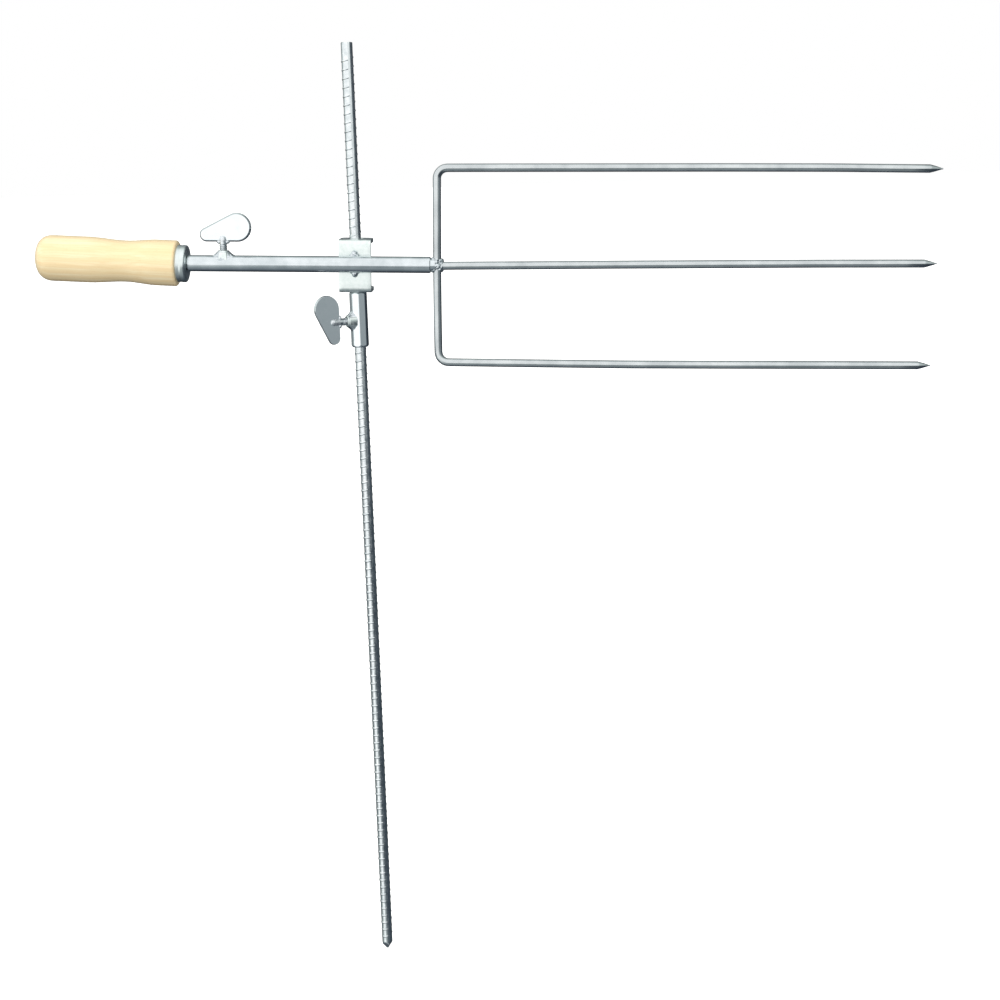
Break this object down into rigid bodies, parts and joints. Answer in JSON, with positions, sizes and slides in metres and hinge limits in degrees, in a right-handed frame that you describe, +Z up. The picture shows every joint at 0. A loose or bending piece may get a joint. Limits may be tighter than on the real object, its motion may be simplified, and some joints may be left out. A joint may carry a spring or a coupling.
{
  "type": "rotisserie spit roaster",
  "caption": "Ribbed ground stake with a sliding lockable collar and a swivelling bearing tube, in which a pronged roasting fork with a wooden handle turns.",
  "frame": {"origin": "point of the stake, on the stake's axis", "axes": "+Z runs up the stake, +X runs towards the points of the prongs, -Y is the side of the bracket that carries the bearing tube"},
  "size_m": [0.703, 0.0508, 0.762],
  "materials": {
    "ribbed_bar": "hot-rolled ribbed bar, thinly plated",
    "zinc_plate": "bright zinc plating",
    "bright_rod": "bright plated round rod",
    "thread_steel": "cut thread, plated",
    "weld": "plated weld bead",
    "beech": "turned beech, clear lacquer"
  },
  "bodies": {
    "stake": {"stake": "ribbed_bar"},
    "collar": {"collar_sleeve": "zinc_plate", "collar_nut": "zinc_plate", "collar_nut_weld": "weld"},
    "collar_thumb_screw": {"collar_screw": "thread_steel", "collar_screw_wing": "zinc_plate"},
    "bracket": {"bracket": "zinc_plate", "bearing_tube": "zinc_plate", "tube_tack_upper": "weld", "tube_tack_lower": "weld", "tube_nut": "zinc_plate", "tube_nut_weld": "weld"},
    "tube_thumb_screw": {"tube_screw": "thread_steel", "tube_screw_wing": "zinc_plate"},
    "fork": {"spit_shaft": "zinc_plate", "fork_bar": "bright_rod", "centre_prong": "bright_rod", "fork_weld": "weld", "ferrule": "zinc_plate", "handle": "beech", "handle_key_pin": "thread_steel"}
  },
  "joints": [
    {"name": "collar_slide", "type": "slide", "parent": "stake", "child": "collar", "axis": [0, 0, 1], "range_m": [-0.33, 0.147]},
    {"name": "bracket_swivel", "type": "hinge", "parent": "collar", "child": "bracket", "pos_m": [0, 0, 0.5714], "axis": [0, 0, 1], "continuous": true},
    {"name": "fork_spin", "type": "hinge", "parent": "bracket", "child": "fork", "pos_m": [0.00006, -0.02, 0.59435], "axis": [0.9995, 0, -0.0314], "continuous": true},
    {"name": "collar_screw_turn", "type": "hinge", "parent": "collar", "child": "collar_thumb_screw", "pos_m": [-0.00953, -0.0055, 0.5484], "axis": [-0.866, -0.5, 0], "range_deg": [0, 720]},
    {"name": "tube_screw_turn", "type": "hinge", "parent": "bracket", "child": "tube_thumb_screw", "pos_m": [-0.10107, -0.02, 0.60769], "axis": [0.0314, 0, 0.9995], "range_deg": [0, 720]}
  ]
}
